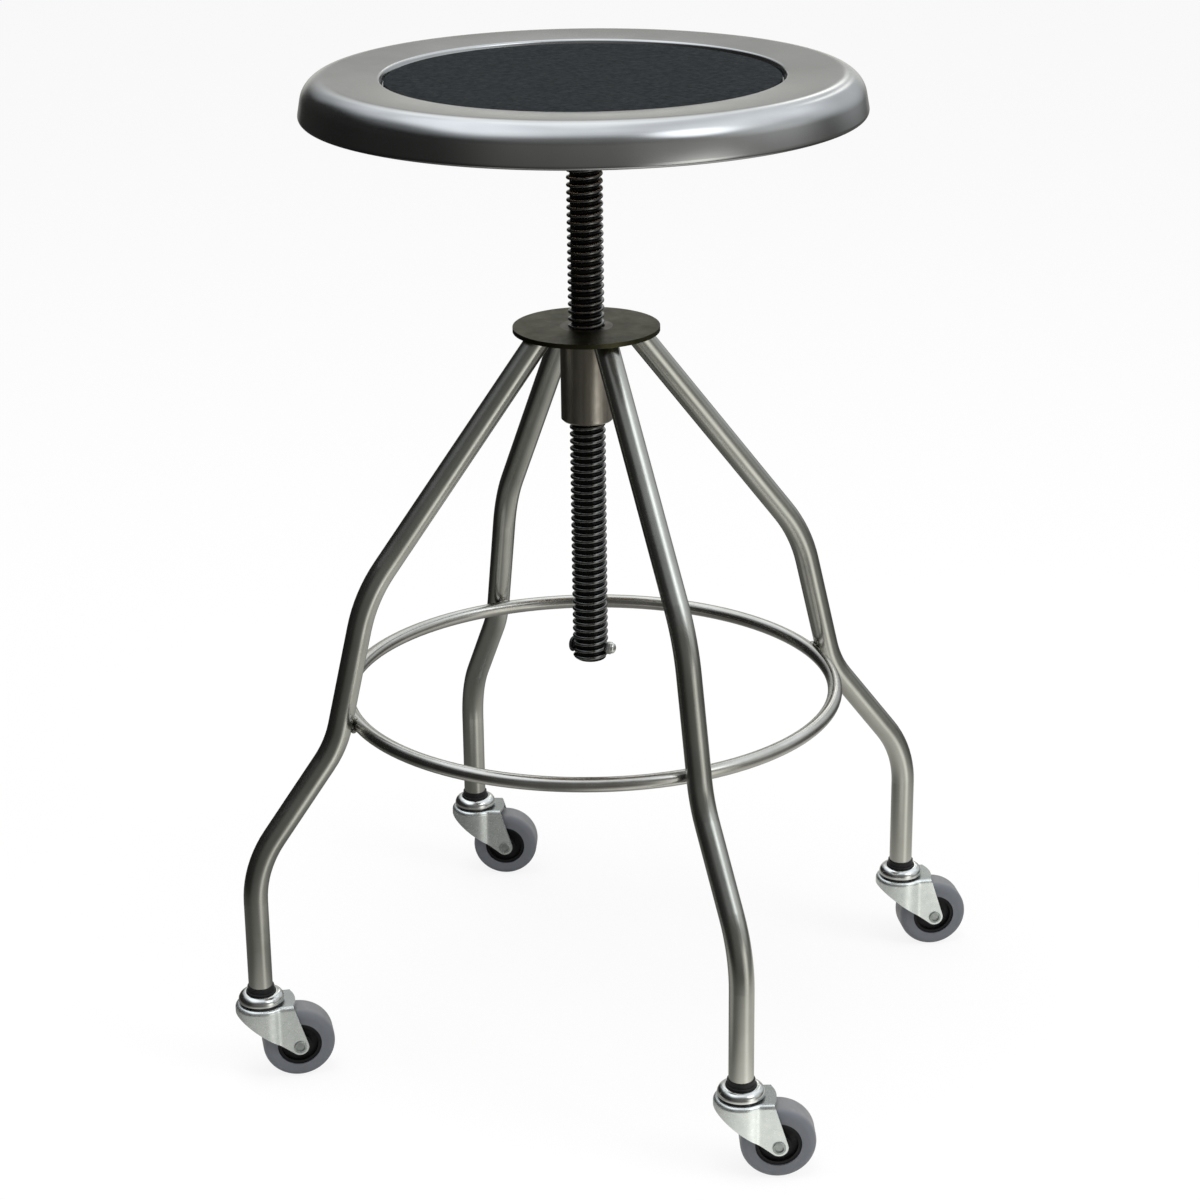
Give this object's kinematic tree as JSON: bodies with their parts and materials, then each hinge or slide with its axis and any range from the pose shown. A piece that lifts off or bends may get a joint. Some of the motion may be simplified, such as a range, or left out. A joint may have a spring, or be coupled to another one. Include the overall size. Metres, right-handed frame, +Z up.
{
  "type": "medical exam stool",
  "caption": "Round backless stool: a steel seat with a black inset pad on a screw that turns it up and down, bent tube legs, a foot ring and swivel casters.",
  "frame": {"origin": "the point of the floor under the lift screw's axis", "axes": "+Z up along the lift screw; +X towards one leg, +Y towards the leg a quarter turn from it"},
  "size_m": [0.5402, 0.5187, 0.6494],
  "materials": {
    "seat_steel": "satin",
    "pad_rubber": "fine grain",
    "backing_board": "raw plywood",
    "flange_iron": "black paint",
    "fixing_steel": "zinc plated",
    "bump_rubber": "plain",
    "screw_black": "semi-gloss black",
    "bolt_black": "semi-gloss black",
    "nut_bright": "bright",
    "plate_steel": "dull",
    "hub_steel": "brushed",
    "leg_steel": "satin",
    "ring_steel": "bright satin",
    "socket_black": "matte",
    "stem_steel": "zinc plated",
    "cap_bright": "bright",
    "bearing_steel": "plain",
    "fork_zinc": "zinc plated",
    "axle_zinc": "zinc plated",
    "bush_plastic": "plain",
    "core_black": "matte",
    "tyre_grey": "smooth grey"
  },
  "bodies": {
    "frame": {"top_plate": "plate_steel", "hub": "hub_steel", "foot_ring": "ring_steel", "leg_right": "leg_steel", "caster_socket_right": "socket_black", "caster_stem_right": "stem_steel", "caster_cap_right": "cap_bright", "leg_back": "leg_steel", "caster_socket_back": "socket_black", "caster_stem_back": "stem_steel", "caster_cap_back": "cap_bright", "leg_left": "leg_steel", "caster_socket_left": "socket_black", "caster_stem_left": "stem_steel", "caster_cap_left": "cap_bright", "leg_front": "leg_steel", "caster_socket_front": "socket_black", "caster_stem_front": "stem_steel", "caster_cap_front": "cap_bright"},
    "bump": {"bump_washer": "bump_rubber"},
    "seat": {"seat_shell": "seat_steel", "seat_pad": "pad_rubber", "seat_backing": "backing_board", "seat_flange": "flange_iron", "flange_screws": "fixing_steel", "lift_screw": "screw_black", "stop_bolt": "bolt_black", "stop_nut": "nut_bright"},
    "swivel_right": {"caster_bearing_right": "bearing_steel", "caster_fork_right": "fork_zinc", "caster_axle_right": "axle_zinc"},
    "wheel_right": {"caster_bush_right": "bush_plastic", "caster_core_right": "core_black", "caster_tyre_right": "tyre_grey"},
    "swivel_back": {"caster_bearing_back": "bearing_steel", "caster_fork_back": "fork_zinc", "caster_axle_back": "axle_zinc"},
    "wheel_back": {"caster_bush_back": "bush_plastic", "caster_core_back": "core_black", "caster_tyre_back": "tyre_grey"},
    "swivel_left": {"caster_bearing_left": "bearing_steel", "caster_fork_left": "fork_zinc", "caster_axle_left": "axle_zinc"},
    "wheel_left": {"caster_bush_left": "bush_plastic", "caster_core_left": "core_black", "caster_tyre_left": "tyre_grey"},
    "swivel_front": {"caster_bearing_front": "bearing_steel", "caster_fork_front": "fork_zinc", "caster_axle_front": "axle_zinc"},
    "wheel_front": {"caster_bush_front": "bush_plastic", "caster_core_front": "core_black", "caster_tyre_front": "tyre_grey"}
  },
  "joints": [
    {"name": "seat_lift", "type": "slide", "parent": "frame", "child": "bump", "axis": [0, 0, 1], "range_m": [-0.11805, 0.15138]},
    {"name": "seat_turn", "type": "hinge", "parent": "bump", "child": "seat", "pos_m": [0, 0, 0.4869], "axis": [0, 0, 1], "range_deg": [-8850, 11350]},
    {"name": "caster_swivel_right", "type": "hinge", "parent": "frame", "child": "swivel_right", "pos_m": [0.238, 0, 0.0536], "axis": [0, 0, 1], "continuous": true},
    {"name": "wheel_spin_right", "type": "hinge", "parent": "swivel_right", "child": "wheel_right", "pos_m": [0.26012, -0.00552, 0.0238], "axis": [0.2419, 0.9703, 0], "continuous": true},
    {"name": "caster_swivel_back", "type": "hinge", "parent": "frame", "child": "swivel_back", "pos_m": [0, 0.238, 0.0536], "axis": [0, 0, 1], "continuous": true},
    {"name": "wheel_spin_back", "type": "hinge", "parent": "swivel_back", "child": "wheel_back", "pos_m": [0.02066, 0.22836, 0.0238], "axis": [0.4226, 0.9063, 0], "continuous": true},
    {"name": "caster_swivel_left", "type": "hinge", "parent": "frame", "child": "swivel_left", "pos_m": [-0.238, 0, 0.0536], "axis": [0, 0, 1], "continuous": true},
    {"name": "wheel_spin_left", "type": "hinge", "parent": "swivel_left", "child": "wheel_left", "pos_m": [-0.21562, -0.00435, 0.0238], "axis": [0.1908, 0.9816, 0], "continuous": true},
    {"name": "caster_swivel_front", "type": "hinge", "parent": "frame", "child": "swivel_front", "pos_m": [0, -0.238, 0.0536], "axis": [0, 0, 1], "continuous": true},
    {"name": "wheel_spin_front", "type": "hinge", "parent": "swivel_front", "child": "wheel_front", "pos_m": [0.02129, -0.24617, 0.0238], "axis": [0.3584, 0.9336, 0], "continuous": true}
  ],
  "couplings": [
    {"joint": "seat_lift", "follows": "seat_turn", "m_per_rad": 0.00076394}
  ]
}
